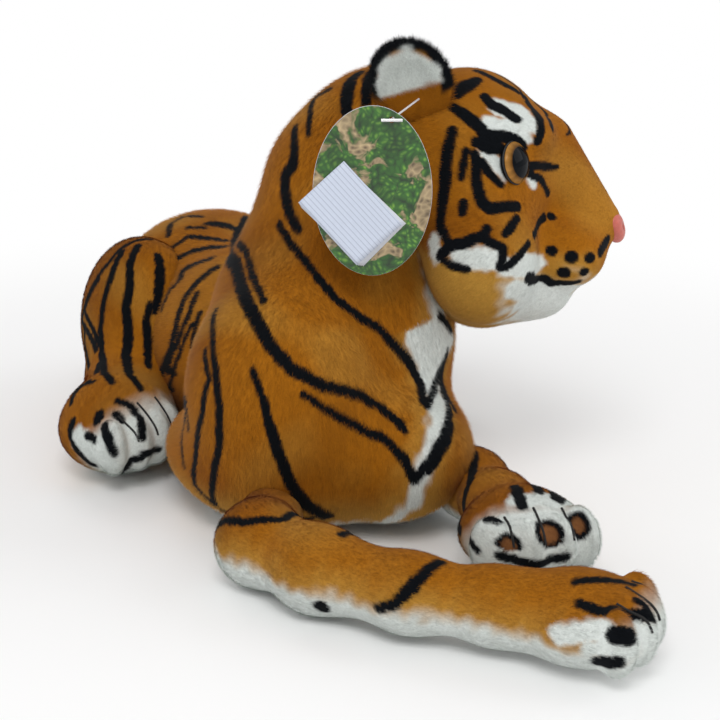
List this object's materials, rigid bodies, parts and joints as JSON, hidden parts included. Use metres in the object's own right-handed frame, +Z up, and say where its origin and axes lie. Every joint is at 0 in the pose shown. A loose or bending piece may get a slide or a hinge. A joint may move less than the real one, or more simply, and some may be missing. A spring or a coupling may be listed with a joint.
{
  "type": "plush tiger",
  "caption": "Plush tiger lying on its belly with its head turned, its legs and tail sewn on, and an oval hang tag pinned to an ear.",
  "frame": {"origin": "on the ground, in the middle of the flat patch that the belly rests on", "axes": "the torso points along -Y, the toy's own left is +X, and +Z is up"},
  "size_m": [0.3032, 0.561, 0.2432],
  "materials": {
    "orange_plush": "woven",
    "white_plush": "woven",
    "black_thread": "woven",
    "amber_plastic": "smooth",
    "black_plastic": "smooth",
    "pink_plastic": "smooth",
    "clear_plastic": "smooth",
    "printed_card": "smooth",
    "paper": "smooth"
  },
  "bodies": {
    "torso": {"torso": "orange_plush", "belly_panel": "white_plush", "chest_bib": "white_plush"},
    "head": {"head": "orange_plush", "eye_left": "amber_plastic", "pupil_left": "black_plastic", "eye_washer_left": "clear_plastic", "eye_right": "amber_plastic", "pupil_right": "black_plastic", "eye_washer_right": "clear_plastic", "nose": "pink_plastic", "nose_washer": "clear_plastic"},
    "ear_left": {"ear_back_left": "orange_plush", "ear_lining_left": "white_plush"},
    "ear_right": {"ear_back_right": "orange_plush", "ear_lining_right": "white_plush"},
    "foreleg_left": {"foreleg_left": "orange_plush", "foreleg_underside_left": "white_plush", "toe_stitch_fore_left_right": "black_thread", "toe_stitch_fore_left_middle": "black_thread", "toe_stitch_fore_left_left": "black_thread"},
    "foreleg_right": {"foreleg_right": "orange_plush", "foreleg_underside_right": "white_plush", "toe_stitch_fore_right_right": "black_thread", "toe_stitch_fore_right_middle": "black_thread", "toe_stitch_fore_right_left": "black_thread"},
    "hindleg_left": {"hindleg_left": "orange_plush", "toe_stitch_hind_left_right": "black_thread", "toe_stitch_hind_left_middle": "black_thread", "toe_stitch_hind_left_left": "black_thread"},
    "hindleg_right": {"hindleg_right": "orange_plush", "toe_stitch_hind_right_right": "black_thread", "toe_stitch_hind_right_middle": "black_thread", "toe_stitch_hind_right_left": "black_thread"},
    "tail": {"tail": "orange_plush"},
    "hang_tag": {"hang_tag_card": "printed_card", "paper_label": "paper", "tag_pin": "clear_plastic"}
  },
  "joints": [
    {"name": "head_turn", "type": "hinge", "parent": "torso", "child": "head", "pos_m": [0.016, -0.0975, 0.172], "axis": [0, 0, 1], "range_deg": [-12, 12], "stiffness_Nm_per_rad": 0.6},
    {"name": "ear_fold_left", "type": "hinge", "parent": "head", "child": "ear_left", "pos_m": [0.03866, -0.08665, 0.20133], "axis": [0.9438, -0.3289, -0.0337], "range_deg": [-10, 10], "stiffness_Nm_per_rad": 0.02},
    {"name": "ear_fold_right", "type": "hinge", "parent": "head", "child": "ear_right", "pos_m": [0.00885, -0.13255, 0.20807], "axis": [-0.6838, 0.7293, -0.025], "range_deg": [-10, 10], "stiffness_Nm_per_rad": 0.02},
    {"name": "foreleg_swing_left", "type": "hinge", "parent": "torso", "child": "foreleg_left", "pos_m": [0.01881, -0.07831, 0.01891], "axis": [0, 0, 1], "range_deg": [0, 14], "stiffness_Nm_per_rad": 0.3},
    {"name": "foreleg_swing_right", "type": "hinge", "parent": "torso", "child": "foreleg_right", "pos_m": [-0.06842, -0.12748, 0.02177], "axis": [0, 0, 1], "range_deg": [-14, 0], "stiffness_Nm_per_rad": 0.3},
    {"name": "hindleg_lift_left", "type": "hinge", "parent": "torso", "child": "hindleg_left", "pos_m": [0.0648, 0.0705, 0.06259], "axis": [1, 0, 0], "range_deg": [-12, 0], "stiffness_Nm_per_rad": 0.3},
    {"name": "hindleg_lift_right", "type": "hinge", "parent": "torso", "child": "hindleg_right", "pos_m": [-0.0424, 0.0705, 0.06211], "axis": [1, 0, 0], "range_deg": [-12, 0], "stiffness_Nm_per_rad": 0.3},
    {"name": "tail_swing", "type": "hinge", "parent": "torso", "child": "tail", "pos_m": [0.0144, 0.15, 0.00172], "axis": [0, 0, 1], "range_deg": [0, 20], "stiffness_Nm_per_rad": 0.05},
    {"name": "hang_tag_swing", "type": "hinge", "parent": "ear_right", "child": "hang_tag", "pos_m": [0.00522, -0.1415, 0.2182], "axis": [-0.8387, 0.5446, 0], "range_deg": [0, 50]}
  ]
}
